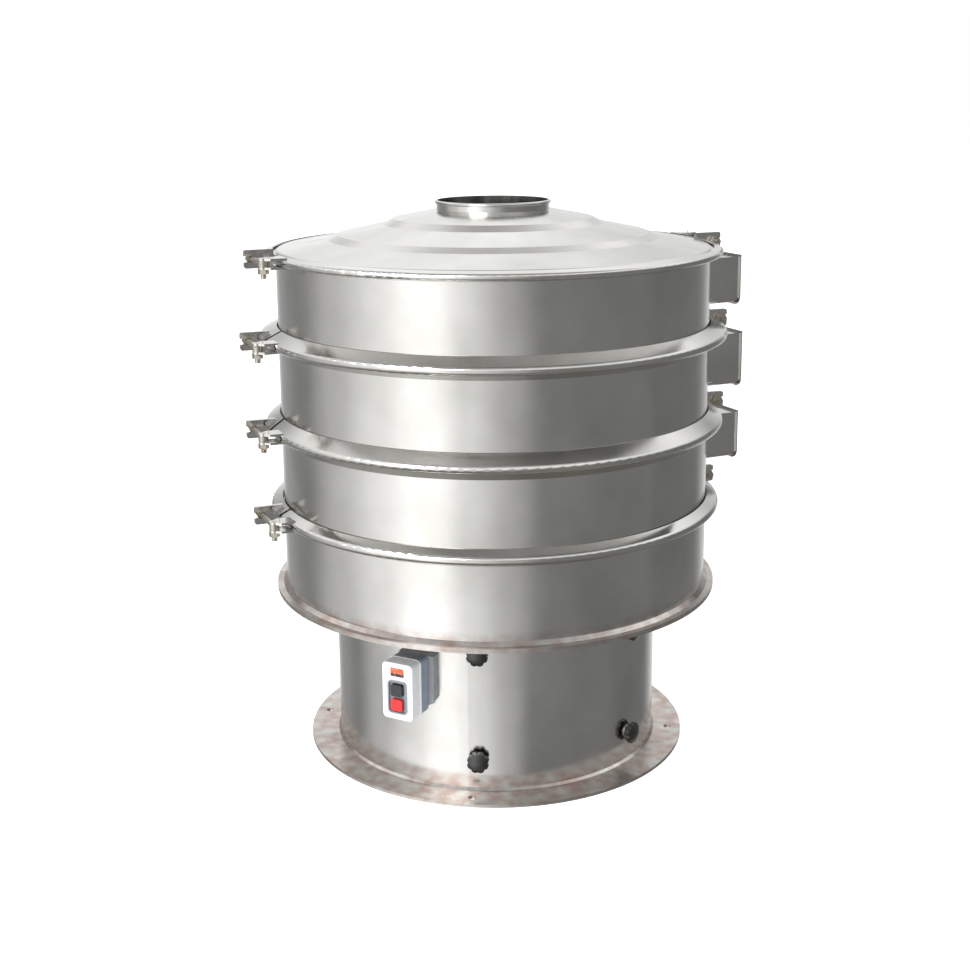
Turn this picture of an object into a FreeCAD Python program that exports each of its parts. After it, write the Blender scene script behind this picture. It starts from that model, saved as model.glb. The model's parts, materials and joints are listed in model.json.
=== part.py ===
"""Round vibrating sieve, 800 mm, with four outlets, built as a parametric FreeCAD document.

Millimetres, +Z up. The origin lies on the floor, on the axis of the sieve.
Azimuths are angles about +Z, counted from +X towards +Y. The front of the machine is -Y.
"""
import os
import re

import FreeCAD
import Part
import Sketcher

SIZES = {
    # floor flange and base cylinder
    "floor_flange_radius": 362,
    "floor_flange_bore": 296,
    "floor_flange_thickness": 6,
    "anchor_circle_radius": 337,
    "anchor_hole_radius": 7,
    "anchor_azimuth": 262.3,
    "base_radius": 306,
    "base_wall": 3,
    "base_top": 292,
    "base_weld": 4,
    # deck with the springs
    "deck_bore": 200,
    "deck_thickness": 5,
    "deck_top": 228,
    "deck_lip": 20,
    "spring_circle_radius": 255,
    "spring_radius": 21,
    "spring_wire": 6,
    "cup_radius": 29,
    "cup_thickness": 3,
    "cup_wall": 2,
    "cup_depth": 10,
    # door
    "door_start": 260.4,
    "door_angle": 64.2,
    "door_bottom": 44,
    "door_top": 284,
    "door_sheet": 1.5,
    "seal_thickness": 1,
    "seal_width": 22,
    "seal_inset": 2,
    "opening_margin_angle": 9,
    "opening_bottom": 88,
    "opening_top": 218,
    "opening_corner": 20,
    "knob_edge_angle": 3.4,
    "knob_low": 65,
    "knob_high": 265,
    "stud_radius": 4,
    "stud_clearance": 0.5,
    "stud_length": 12,
    "stud_tail": 6,
    "knob_bore_clearance": 0.05,
    "washer_radius": 12,
    "washer_thickness": 2,
    "knob_gap": 0.3,
    "knob_radius": 19.5,
    "knob_hub_radius": 11,
    "knob_hub_height": 5,
    "knob_rim_height": 13,
    "knob_height": 19,
    "knob_lobes": 8,
    "knob_scallop_radius": 5,
    "knob_scallop_circle": 22,
    # switch box
    "switch_azimuth": 242.5,
    "switch_back": 318,
    "switch_bottom": 154,
    "switch_width": 60,
    "switch_height": 103,
    "switch_corner": 8,
    "bracket_overhang": 10,
    "bracket_raise": 6,
    "bracket_chamfer": 14,
    "gasket_thickness": 2,
    "gasket_inset": 1.5,
    "housing_depth": 25,
    "cover_depth": 29.5,
    "cover_wall": 3,
    "cover_ridge": 1.2,
    "cover_ridge_width": 3,
    "bezel_width": 38,
    "bezel_height": 60,
    "bezel_corner": 7,
    "bezel_raise": 11,
    "bezel_recess": 4,
    "bezel_wall": 2.5,
    "bezel_thickness": 2,
    "button_width": 22,
    "button_height": 21,
    "button_corner": 3,
    "button_gap": 6,
    "button_clearance": 0.3,
    "button_proud": 5,
    "button_foot": 2,
    "button_foot_gap": 0.2,
    "label_width": 26,
    "label_height": 15,
    "label_thickness": 0.6,
    "label_raise": 79,
    "knockout_radius": 10,
    "knockout_thickness": 1,
    # sieve body
    "shell_radius": 400,
    "shell_wall": 2,
    "plate_radius": 418,
    "plate_bottom": 307.5,
    "plate_thickness": 8,
    "plate_weld": 6.5,
    "floor_edge": 342,
    "floor_rise": 56,
    "flange_thickness": 3,
    "joint_half": 4.5,
    "screen_ring_thickness": 5,
    "screen_ring_bore": 384,
    "mesh_thickness": 0.8,
    "mesh_radius": 396,
    "seal_cover": 3,
    # clamp rings, from the top one down
    "clamp_sheet": 2.5,
    "ring_1_level": 937,
    "ring_1_half": 9,
    "ring_1_lip": 406,
    "ring_1_nose": 422.5,
    "ring_1_arc": 6,
    "ring_1_azimuth": 202,
    "ring_2_level": 788,
    "ring_2_half": 20,
    "ring_2_lip": 402.5,
    "ring_2_nose": 433.5,
    "ring_2_arc": 8,
    "ring_2_azimuth": 200,
    "ring_3_level": 625,
    "ring_3_half": 22.5,
    "ring_3_lip": 402.5,
    "ring_3_nose": 428,
    "ring_3_arc": 8,
    "ring_3_azimuth": 199.5,
    "ring_4_level": 469,
    "ring_4_half": 15,
    "ring_4_lip": 402.5,
    "ring_4_nose": 423.5,
    "ring_4_arc": 8,
    "ring_4_azimuth": 203,
    "ring_gap_angle": 1.3,
    # clamp joint: swing bolt, lugs and fork
    "pivot_stand": 22,
    "pivot_side": 42,
    "bolt_radius": 5,
    "pin_clearance": 0.06,
    "eye_radius": 9,
    "eye_height": 10.8,
    "lug_clearance": 0.2,
    "lug_thickness": 4,
    "lug_width": 34,
    "lug_root": 16,
    "fork_side": 36,
    "fork_thickness": 8,
    "fork_half_height": 16.5,
    "fork_reach": 15,
    "slot_clearance": 0.6,
    "nut_flats_half": 8.5,
    "nut_height": 8,
    "nut_gap": 1,
    "washer_height": 1.6,
    "rod_end": 8,
    "pin_tail": 8,
    # outlets
    "outlet_1_azimuth": 25,
    "outlet_1_bottom": 810,
    "outlet_1_height": 92,
    "outlet_2_azimuth": 23.5,
    "outlet_2_bottom": 648,
    "outlet_2_height": 104,
    "outlet_3_azimuth": 24.5,
    "outlet_3_bottom": 498,
    "outlet_3_height": 92,
    "outlet_4_azimuth": 115,
    "outlet_4_bottom": 342,
    "outlet_4_height": 92,
    "outlet_width": 120,
    "outlet_wall": 2,
    "outlet_corner": 14,
    "outlet_end": 510,
    "outlet_lip": 4,
    # lid and feed inlet
    "lid_wall": 2,
    "lid_edge_radius": 396,
    "lid_edge_level": 946,
    "lid_step_1_radius": 304,
    "lid_step_1_level": 961.5,
    "lid_step_2_radius": 286,
    "lid_step_2_level": 970,
    "lid_step_3_radius": 203,
    "lid_step_3_level": 987.5,
    "lid_step_4_radius": 184,
    "lid_step_4_level": 997.5,
    "lid_top_level": 1013,
    "inlet_radius": 104,
    "inlet_bottom": 1004,
    "inlet_top": 1025.8,
    "inlet_bead": 3.2,
    # vibration motor
    "motor_flange_radius": 130,
    "motor_flange_thickness": 10,
    "motor_radius": 95,
    "motor_bore": 80,
    "motor_bottom": 110,
    "motor_top": 325,
    "motor_cover_thickness": 12,
    "stator_bore": 52,
    "stator_bottom": 170,
    "stator_height": 90,
    "core_radius": 51,
    "bearing_radius": 26,
    "bearing_height": 12,
    "shaft_radius": 12,
    "shaft_bottom": 50,
    "shaft_top": 374,
    "shaft_clearance": 0.06,
    "weight_radius": 90,
    "weight_hub": 32,
    "upper_weight_bottom": 346,
    "upper_weight_height": 24,
    "lower_weight_bottom": 56,
    "lower_weight_height": 26,
    "motor_bolt_circle": 116,
    "motor_bolt_radius": 6,
    "motor_bolt_clearance": 0.5,
    "motor_bolt_head": 8,
    "motor_bolt_flats_half": 9.5,
}

RINGS = (1, 2, 3, 4)
TIERS = (1, 2, 3)
SPRING_COUNT = 8
ANCHOR_COUNT = 4
MOTOR_BOLT_COUNT = 6

# sizes that several pieces share, worked out from the sheet
BASE_INNER = "(base_radius - base_wall)"
SHELL_INNER = "(shell_radius - shell_wall)"
PLATE_TOP = "(plate_bottom + plate_thickness)"
DOOR_INNER = "(base_radius + seal_thickness)"
DOOR_OUTER = "(base_radius + seal_thickness + door_sheet)"
KNOB_BACK = "(base_radius + seal_thickness + door_sheet + washer_thickness + knob_gap)"
SWITCH_MIDDLE = "(switch_bottom + switch_height / 2)"
HOUSING_BACK = "(switch_back + gasket_thickness)"
COVER_BACK = "(switch_back + gasket_thickness + housing_depth)"
COVER_FRONT = "(switch_back + gasket_thickness + housing_depth + cover_depth)"
BEZEL_FLOOR = "(switch_back + gasket_thickness + housing_depth + cover_depth - bezel_recess)"
BEZEL_MIDDLE = "(switch_bottom + bezel_raise + bezel_height / 2)"
BUTTON_BACK = f"({COVER_FRONT} - bezel_recess - cover_wall - button_foot_gap)"
PIN_RADIUS = "(bolt_radius - pin_clearance)"
LUG_INNER = "(eye_height / 2 + lug_clearance)"
SLOT_HALF = "(bolt_radius + slot_clearance)"
MOTOR_FLANGE_BOTTOM = "(plate_bottom - motor_flange_thickness)"

document = FreeCAD.newDocument("vibrating_sieve")
sheet = document.addObject("Spreadsheet::Sheet", "Sizes")


def fill_sheet():
    """Write every driving size into the sheet, under its own name."""
    for row, (alias, number) in enumerate(SIZES.items(), start=1):
        sheet.set(f"A{row}", alias)
        sheet.set(f"B{row}", str(number))
        sheet.setAlias(f"B{row}", alias)
    document.recompute()


def bound(formula):
    """Return the formula with each size name turned into a reference to the sheet."""
    def reference(word):
        name = word.group()
        return "Sizes." + name if name in SIZES else name
    return re.sub(r"[a-z][a-z_0-9]*", reference, str(formula))


def value(formula):
    """Return the number that a formula over the sheet stands for."""
    return float(getattr(result := sheet.evalExpression(bound(formula)), "Value", result))


def tie(target, property_name, formula):
    """Bind one property of a document object to a formula over the sheet."""
    target.setExpression(property_name, bound(formula))


def new_body(label, azimuth=None, level=None):
    """Start a body, turned about Z by an azimuth and raised to a level where they are given."""
    body = document.addObject("PartDesign::Body", label)
    body.Label = label
    body.AllowCompound = True
    if azimuth is not None:
        body.Placement = FreeCAD.Placement(FreeCAD.Vector(), FreeCAD.Rotation(FreeCAD.Vector(0, 0, 1), 1))
        tie(body, "Placement.Rotation.Angle", azimuth)
    if level is not None:
        tie(body, "Placement.Base.z", level)
    return body


def origin_part(body, role):
    """Return the plane or axis of the body's own origin that has this role."""
    return next(part for part in body.Origin.OriginFeatures if part.Role == role)


def new_sketch(body, plane, offset="0"):
    """Attach a sketch to one of the body's origin planes, moved along the plane's normal."""
    sketch = body.newObject("Sketcher::SketchObject", "Sketch")
    sketch.AttachmentSupport = [(origin_part(body, plane), "")]
    sketch.MapMode = "FlatFace"
    tie(sketch, "AttachmentOffset.Base.z", offset)
    return sketch


def radial_sketch(body, azimuth, distance):
    """Attach an upright sketch that faces straight out at an azimuth of the body."""
    sketch = new_sketch(body, "YZ_Plane")
    sketch.AttachmentOffset = FreeCAD.Placement(
        FreeCAD.Vector(), FreeCAD.Rotation(FreeCAD.Vector(0, 1, 0), value(azimuth))
    )
    tie(sketch, "AttachmentOffset.Rotation.Angle", azimuth)
    tie(sketch, "AttachmentOffset.Base.x", f"({distance}) * sin({azimuth})")
    tie(sketch, "AttachmentOffset.Base.z", f"({distance}) * cos({azimuth})")
    return sketch


def pin_point(sketch, edge, point, across, up):
    """Fix one point of a sketch to two formulas measured from the sketch's origin."""
    for kind, formula in (("DistanceX", across), ("DistanceY", up)):
        index = sketch.addConstraint(Sketcher.Constraint(kind, -1, 1, edge, point, value(formula)))
        tie(sketch, f"Constraints[{index}]", formula)


def arc_between(start, end, radius):
    """Short arc between two points; a positive radius turns left, a negative one turns right."""
    middle = (start + end) / 2
    half_chord = (end - start) / 2
    rise = max(radius ** 2 - half_chord.Length ** 2, 0) ** 0.5
    normal = FreeCAD.Vector(-half_chord.y, half_chord.x, 0).normalize()
    side = 1 if radius > 0 else -1
    centre = middle + normal * (rise * side)
    circle = Part.Circle(centre, FreeCAD.Vector(0, 0, 1), abs(radius))
    first, last = (start, end) if radius > 0 else (end, start)
    return Part.ArcOfCircle(circle, circle.parameter(first), circle.parameter(last))


def add_outline(sketch, corners):
    """Draw a closed outline. Each corner is (across, up), or (across, up, radius) before an arc."""
    places = [FreeCAD.Vector(value(corner[0]), value(corner[1]), 0) for corner in corners]
    first_edge = sketch.GeometryCount
    ends = []
    for index, corner in enumerate(corners):
        start = places[index]
        end = places[(index + 1) % len(corners)]
        if len(corner) == 2:
            sketch.addGeometry(Part.LineSegment(start, end), False)
            ends.append((1, 2))
        else:
            radius = value(corner[2])
            edge = sketch.addGeometry(arc_between(start, end, radius), False)
            ends.append((1, 2) if radius > 0 else (2, 1))
            constraint = sketch.addConstraint(Sketcher.Constraint("Radius", edge, abs(radius)))
            tie(sketch, f"Constraints[{constraint}]", f"abs({corner[2]})")
    for index, corner in enumerate(corners):
        follower = (index + 1) % len(corners)
        sketch.addConstraint(
            Sketcher.Constraint(
                "Coincident", first_edge + index, ends[index][1], first_edge + follower, ends[follower][0]
            )
        )
        pin_point(sketch, first_edge + index, ends[index][0], corner[0], corner[1])


def add_circle(sketch, across, up, radius):
    """Draw a circle whose centre and radius are formulas."""
    centre = FreeCAD.Vector(value(across), value(up), 0)
    edge = sketch.addGeometry(Part.Circle(centre, FreeCAD.Vector(0, 0, 1), value(radius)), False)
    pin_point(sketch, edge, 3, across, up)
    constraint = sketch.addConstraint(Sketcher.Constraint("Radius", edge, value(radius)))
    tie(sketch, f"Constraints[{constraint}]", radius)


def add_feature(body, kind, sketch):
    """Add a sketch-based feature to a body."""
    feature = body.newObject(kind, kind.split("::")[1])
    feature.Profile = sketch
    body.Tip = feature
    return feature


def revolve(body, corners, angle="360"):
    """Turn an outline in the radius-height plane about Z, leftwards from azimuth 0."""
    sketch = new_sketch(body, "XZ_Plane")
    add_outline(sketch, corners)
    feature = add_feature(body, "PartDesign::Revolution", sketch)
    feature.ReferenceAxis = (sketch, ["V_Axis"])
    tie(feature, "Angle", angle)
    return feature


def groove(body, corners):
    """Cut an outline in the radius-height plane all the way round Z."""
    sketch = new_sketch(body, "XZ_Plane")
    add_outline(sketch, corners)
    feature = add_feature(body, "PartDesign::Groove", sketch)
    feature.ReferenceAxis = (sketch, ["V_Axis"])
    feature.Angle = 360
    return feature


def pad(body, plane, offset, length, corners, holes=()):
    """Raise an outline, with round holes where given, along the plane's normal."""
    sketch = new_sketch(body, plane, offset)
    if corners:
        add_outline(sketch, corners)
    for across, up, radius in holes:
        add_circle(sketch, across, up, radius)
    feature = add_feature(body, "PartDesign::Pad", sketch)
    tie(feature, "Length", length)
    return feature


def pocket(body, plane, offset, length, corners, holes=()):
    """Cut an outline, or round holes, against the plane's normal."""
    sketch = new_sketch(body, plane, offset)
    if corners:
        add_outline(sketch, corners)
    for across, up, radius in holes:
        add_circle(sketch, across, up, radius)
    feature = add_feature(body, "PartDesign::Pocket", sketch)
    tie(feature, "Length", length)
    return feature


def polar(body, features, count):
    """Repeat features about Z."""
    pattern = body.newObject("PartDesign::PolarPattern", "PolarPattern")
    pattern.Originals = features
    pattern.Axis = (origin_part(body, "Z_Axis"), [""])
    pattern.Angle = 360
    if isinstance(count, int):
        pattern.Occurrences = count
    else:
        tie(pattern, "Occurrences", count)
    body.Tip = pattern
    return pattern


def block(low_across, high_across, low_up, high_up):
    """Corners of an upright rectangle."""
    return [(low_across, low_up), (high_across, low_up), (high_across, high_up), (low_across, high_up)]


def rounded(middle_across, middle_up, width, height, radius):
    """Corners of a rectangle with four rounded corners."""
    left = f"({middle_across} - {width} / 2)"
    right = f"({middle_across} + {width} / 2)"
    low = f"({middle_up} - {height} / 2)"
    high = f"({middle_up} + {height} / 2)"
    return [
        (f"{left} + {radius}", low),
        (f"{right} - {radius}", low, radius),
        (right, f"{low} + {radius}"),
        (right, f"{high} - {radius}", radius),
        (f"{right} - {radius}", high),
        (f"{left} + {radius}", high, radius),
        (left, f"{high} - {radius}"),
        (left, f"{low} + {radius}", radius),
    ]


def hexagon(across, up, flats_half):
    """Corners of a hexagon with two corners on the sketch's level line."""
    corner_radius = f"{flats_half} / cos(30)"
    return [
        (f"{across} + {corner_radius} * cos({60 * step})", f"{up} + {corner_radius} * sin({60 * step})")
        for step in range(6)
    ]


# ---------------------------------------------------------------- base

def make_floor_flange():
    """Flat ring on the floor with four anchor holes."""
    body = new_body("floor_flange", azimuth="anchor_azimuth")
    revolve(body, block("floor_flange_bore", "floor_flange_radius", "0", "floor_flange_thickness"))
    hole = pocket(
        body, "XY_Plane", "floor_flange_thickness", "floor_flange_thickness + 1", [],
        holes=[("anchor_circle_radius", "0", "anchor_hole_radius")],
    )
    polar(body, [hole], ANCHOR_COUNT)


def make_base_cylinder():
    """Rolled wall of the base, with its weld to the floor flange and the opening behind the door."""
    body = new_body("base_cylinder", azimuth="door_start")
    revolve(body, [
        (BASE_INNER, "floor_flange_thickness"),
        ("base_radius + base_weld", "floor_flange_thickness"),
        ("base_radius", "floor_flange_thickness + base_weld"),
        ("base_radius", "base_top"),
        (BASE_INNER, "base_top"),
    ])
    half_width = "(base_radius * sin(door_angle / 2 - opening_margin_angle))"
    cut_window(
        body, half_width, "(opening_bottom + opening_top) / 2", "(opening_top - opening_bottom)",
        "opening_corner",
    )
    cut_stud_holes(body, "stud_radius")


def make_base_deck():
    """Ring that carries the springs, with a lip turned down at its bore."""
    body = new_body("base_deck")
    revolve(body, [
        ("deck_bore", "deck_top - deck_lip"),
        ("deck_bore + deck_thickness", "deck_top - deck_lip"),
        ("deck_bore + deck_thickness", "deck_top - deck_thickness"),
        (BASE_INNER, "deck_top - deck_thickness"),
        (BASE_INNER, "deck_top"),
        ("deck_bore", "deck_top"),
    ])


def ring_about(body, centre, outline_corners):
    """Revolve an outline about an upright axis that stands at a radius on azimuth 0."""
    sketch = new_sketch(body, "XZ_Plane")
    tie(sketch, "AttachmentOffset.Base.x", centre)
    add_outline(sketch, outline_corners)
    feature = add_feature(body, "PartDesign::Revolution", sketch)
    feature.ReferenceAxis = (sketch, ["V_Axis"])
    feature.Angle = 360
    return feature


def make_spring_cups():
    """Pressed cups that hold the springs, eight on the deck and eight under the body plate."""
    lower = new_body("lower_spring_cups")
    cup = ring_about(lower, "spring_circle_radius", [
        ("0", "deck_top"),
        ("cup_radius", "deck_top"),
        ("cup_radius", "deck_top + cup_depth"),
        ("cup_radius - cup_wall", "deck_top + cup_depth"),
        ("cup_radius - cup_wall", "deck_top + cup_thickness"),
        ("0", "deck_top + cup_thickness"),
    ])
    polar(lower, [cup], SPRING_COUNT)
    upper = new_body("upper_spring_cups")
    cup = ring_about(upper, "spring_circle_radius", [
        ("0", "plate_bottom - cup_thickness"),
        ("cup_radius - cup_wall", "plate_bottom - cup_thickness"),
        ("cup_radius - cup_wall", "plate_bottom - cup_depth"),
        ("cup_radius", "plate_bottom - cup_depth"),
        ("cup_radius", "plate_bottom"),
        ("0", "plate_bottom"),
    ])
    polar(upper, [cup], SPRING_COUNT)


def make_springs():
    """Compression springs, each a sleeve as thick as the wire between its two cups."""
    body = new_body("springs")
    sleeve = ring_about(body, "spring_circle_radius", block(
        "spring_radius - spring_wire / 2", "spring_radius + spring_wire / 2",
        "deck_top + cup_thickness", "plate_bottom - cup_thickness",
    ))
    polar(body, [sleeve], SPRING_COUNT)


# ---------------------------------------------------------------- door

def knob_places():
    """Azimuth and height of each star knob."""
    start = "(door_start + knob_edge_angle)"
    end = "(door_start + door_angle - knob_edge_angle)"
    return [(start, "knob_low"), (start, "knob_high"), (end, "knob_low"), (end, "knob_high")]


def cut_stud_holes(body, radius):
    """Cut the four stud holes through a curved wall whose body starts at the door's first edge."""
    for turn in ("knob_edge_angle", "door_angle - knob_edge_angle"):
        for height in ("knob_low", "knob_high"):
            sketch = radial_sketch(body, turn, f"{DOOR_OUTER} + 1")
            add_circle(sketch, "0", height, radius)
            feature = add_feature(body, "PartDesign::Pocket", sketch)
            tie(feature, "Length", f"{DOOR_OUTER} - {BASE_INNER} + 2")


def cut_window(body, half_width, middle, height, corner):
    """Cut a rounded window through a curved wall at the middle of the door."""
    sketch = radial_sketch(body, "door_angle / 2", f"{DOOR_OUTER} + 1")
    add_outline(sketch, rounded("0", middle, f"(2 * {half_width})", height, corner))
    feature = add_feature(body, "PartDesign::Pocket", sketch)
    tie(feature, "Length", "base_radius")


def make_door():
    """Curved door sheet and the seal frame between it and the base."""
    panel = new_body("door_panel", azimuth="door_start")
    revolve(panel, block(DOOR_INNER, DOOR_OUTER, "door_bottom", "door_top"), "door_angle")
    cut_stud_holes(panel, "stud_radius + stud_clearance")
    seal = new_body("door_seal", azimuth="door_start")
    revolve(seal, block("base_radius", DOOR_INNER, "door_bottom + seal_inset", "door_top - seal_inset"),
            "door_angle")
    cut_window(
        seal, "(base_radius * sin(door_angle / 2) - 1.6 * seal_width)", "(door_bottom + door_top) / 2",
        "(door_top - door_bottom - 3 * seal_width)", "opening_corner",
    )
    cut_stud_holes(seal, "stud_radius + stud_clearance")


def make_door_studs():
    """Studs welded into the base wall, each with the washer that its knob presses on."""
    body = new_body("door_studs")
    for azimuth, height in knob_places():
        for start, length, radius in (
            (f"{BASE_INNER} - stud_tail", f"{KNOB_BACK} - {BASE_INNER} + stud_tail + stud_length", "stud_radius"),
            (DOOR_OUTER, "washer_thickness", "washer_radius"),
        ):
            sketch = radial_sketch(body, azimuth, start)
            add_circle(sketch, "0", height, radius)
            feature = add_feature(body, "PartDesign::Pad", sketch)
            tie(feature, "Length", length)


def make_star_knob(number, azimuth, height):
    """Moulded star knob: a dome on a hub, with scallops between its lobes and a blind bore."""
    body = document.addObject("PartDesign::Body", f"star_knob_{number}")
    body.Label = f"star_knob_{number}"
    rise = "(knob_height - knob_rim_height)"
    dome = f"((knob_radius^2 + {rise}^2) / (2 * {rise}))"
    revolve(body, [
        ("stud_radius + knob_bore_clearance", "0"),
        ("knob_hub_radius", "0"),
        ("knob_hub_radius", "knob_hub_height"),
        ("knob_radius - 2", "knob_hub_height", "2"),
        ("knob_radius", "knob_hub_height + 2"),
        ("knob_radius", "knob_rim_height", dome),
        ("0", "knob_height"),
        ("0", "stud_length + 2"),
        ("stud_radius + knob_bore_clearance", "stud_length + 2"),
    ])
    scallop = pocket(
        body, "XY_Plane", "knob_height + 1", "knob_height - knob_hub_height + 1.2", [],
        holes=[("knob_scallop_circle", "0", "knob_scallop_radius")],
    )
    polar(body, [scallop], "knob_lobes")
    lean = FreeCAD.Rotation(FreeCAD.Vector(0, 0, 1), value(azimuth)) * FreeCAD.Rotation(
        FreeCAD.Vector(0, 1, 0), 90
    )
    body.Placement = FreeCAD.Placement(FreeCAD.Vector(), lean)
    tie(body, "Placement.Base.x", f"{KNOB_BACK} * cos({azimuth})")
    tie(body, "Placement.Base.y", f"{KNOB_BACK} * sin({azimuth})")
    tie(body, "Placement.Base.z", height)


# ---------------------------------------------------------------- switch box

def switch_body(label):
    """Start a body whose +X points straight out of the switch box."""
    return new_body(label, azimuth="switch_azimuth")


def make_switch_bracket():
    """Bracket behind the switch box, curved to the base wall, one lower corner cut off."""
    body = switch_body("switch_bracket")
    left = "(-switch_width / 2)"
    right = "(switch_width / 2 + bracket_overhang)"
    low = "(switch_bottom + bracket_raise)"
    high = "(switch_bottom + switch_height - 1)"
    pad(body, "YZ_Plane", "base_radius - 20", "switch_back - base_radius + 20", [
        (left, low),
        (f"{right} - bracket_chamfer", low),
        (right, f"{low} + bracket_chamfer"),
        (right, high),
        (left, high),
    ])
    groove(body, block("0", "base_radius", "0", "switch_bottom + switch_height + 10"))


def make_switch_box():
    """Gasket, housing and cover of the switch box, with the bezel, the label and the knock-out."""
    gasket = switch_body("switch_gasket")
    pad(gasket, "YZ_Plane", "switch_back", "gasket_thickness", rounded(
        "0", SWITCH_MIDDLE, "(switch_width - 2 * gasket_inset)",
        "(switch_height - 2 * gasket_inset)", "switch_corner",
    ))
    housing = switch_body("switch_housing")
    pad(housing, "YZ_Plane", HOUSING_BACK, "housing_depth", rounded(
        "0", SWITCH_MIDDLE, "switch_width", "switch_height", "switch_corner",
    ))
    pocket(housing, "YZ_Plane", COVER_BACK, "housing_depth - cover_wall", rounded(
        "0", SWITCH_MIDDLE, "(switch_width - 2 * cover_wall)",
        "(switch_height - 2 * cover_wall)", "(switch_corner - cover_wall)",
    ))
    cover = switch_body("switch_cover")
    pad(cover, "YZ_Plane", COVER_BACK, "cover_depth", rounded(
        "0", SWITCH_MIDDLE, "switch_width", "switch_height", "switch_corner",
    ))
    pad(cover, "YZ_Plane", COVER_BACK, "cover_ridge_width", rounded(
        "0", SWITCH_MIDDLE, "(switch_width + 2 * cover_ridge)",
        "(switch_height + 2 * cover_ridge)", "(switch_corner + cover_ridge)",
    ))
    hollow = pocket(cover, "YZ_Plane", COVER_BACK, "cover_depth - cover_wall - bezel_recess", rounded(
        "0", SWITCH_MIDDLE, "(switch_width - 2 * cover_wall)",
        "(switch_height - 2 * cover_wall)", "(switch_corner - cover_wall)",
    ))
    hollow.Reversed = True
    pocket(cover, "YZ_Plane", COVER_FRONT, "bezel_recess", rounded(
        "0", BEZEL_MIDDLE, "bezel_width", "bezel_height", "bezel_corner",
    ))
    for low in button_bottoms():
        pocket(cover, "YZ_Plane", COVER_FRONT, "cover_depth", rounded(
            "0", f"({low} + button_height / 2)", "(button_width + 2 * button_clearance)",
            "(button_height + 2 * button_clearance)", "button_corner",
        ))


def button_bottoms():
    """Heights of the lower edges of the OFF and the ON button."""
    low = f"({BEZEL_MIDDLE} - button_height - button_gap / 2)"
    return [low, f"({low} + button_height + button_gap)"]


def make_switch_bezel():
    """Rounded frame in the recess of the cover, round both buttons."""
    body = switch_body("switch_bezel")
    pad(body, "YZ_Plane", BEZEL_FLOOR, "bezel_recess + bezel_thickness", rounded(
        "0", BEZEL_MIDDLE, "bezel_width", "bezel_height", "bezel_corner",
    ))
    pocket(body, "YZ_Plane", f"{COVER_FRONT} + bezel_thickness", "bezel_thickness + bezel_recess - 2", rounded(
        "0", BEZEL_MIDDLE, "(bezel_width - 2 * bezel_wall)", "(bezel_height - 2 * bezel_wall)",
        "(bezel_corner - bezel_wall)",
    ))
    for low in button_bottoms():
        pocket(body, "YZ_Plane", f"{COVER_FRONT} + bezel_thickness", "cover_depth", rounded(
            "0", f"({low} + button_height / 2)", "(button_width + 2 * button_clearance)",
            "(button_height + 2 * button_clearance)", "button_corner",
        ))


def make_button(label, low):
    """Push button that slides through the cover and the bezel, with a retaining foot behind."""
    body = switch_body(label)
    middle = f"({low} + button_height / 2)"
    pad(body, "YZ_Plane", BUTTON_BACK, f"{COVER_FRONT} - {BUTTON_BACK} + button_proud", rounded(
        "0", middle, "button_width", "button_height", "button_corner",
    ))
    pad(body, "YZ_Plane", f"{BUTTON_BACK} - button_foot", "button_foot", rounded(
        "0", middle, "(button_width + 2 * button_foot)", "(button_height + 2 * button_foot)",
        "button_corner",
    ))


def make_switch_label():
    """Bare label plate above the bezel."""
    body = switch_body("switch_label")
    pad(body, "YZ_Plane", COVER_FRONT, "label_thickness", rounded(
        "0", "(switch_bottom + label_raise + label_height / 2)", "label_width", "label_height", "1",
    ))


def make_knockout():
    """Round blanking plug on the top of the housing."""
    body = switch_body("switch_knockout")
    pad(body, "XY_Plane", "switch_bottom + switch_height", "knockout_thickness", [], holes=[
        (f"{HOUSING_BACK} + housing_depth / 2", "0", "knockout_radius"),
    ])


# ---------------------------------------------------------------- clamp rings and flanges

def flank_angle(ring):
    """Slope of a clamp ring's straight flank against the level plane."""
    reach = f"(ring_{ring}_nose - ring_{ring}_arc - ring_{ring}_lip)"
    half = f"ring_{ring}_half"
    return f"(atan2({half}; {reach}) - asin(ring_{ring}_arc / sqrt({reach}^2 + {half}^2)))"


def clamp_profile(ring, inset):
    """Points of a clamp ring's section, from its upper lip over the nose to the lower lip."""
    angle = flank_angle(ring)
    level = f"ring_{ring}_level"
    lip_radius = f"(ring_{ring}_lip - {inset} * sin({angle}))"
    lip_height = f"(ring_{ring}_half - {inset} * cos({angle}))"
    arc = f"(ring_{ring}_arc - {inset})"
    centre = f"(ring_{ring}_nose - ring_{ring}_arc)"
    turn_radius = f"({centre} + {arc} * sin({angle}))"
    turn_height = f"({arc} * cos({angle}))"
    return {
        "upper_lip": (lip_radius, f"{level} + {lip_height}"),
        "upper_turn": (turn_radius, f"{level} + {turn_height}"),
        "nose": (f"({centre} + {arc})", level),
        "lower_turn": (turn_radius, f"{level} - {turn_height}"),
        "lower_lip": (lip_radius, f"{level} - {lip_height}"),
        "arc": arc,
    }


def flange_radius(ring, height):
    """Radius at which the inside of a clamp ring's flank stands at a height off its middle."""
    angle = flank_angle(ring)
    run = f"((ring_{ring}_half - clamp_sheet * cos({angle}) - {height}) / sin({angle}))"
    return f"(ring_{ring}_lip - clamp_sheet * sin({angle}) + {run} * cos({angle}))"


def pivot_radius(ring):
    """Distance of a clamp joint's rod from the sieve axis, along the seam's direction."""
    return f"(ring_{ring}_nose + pivot_stand)"


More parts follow.
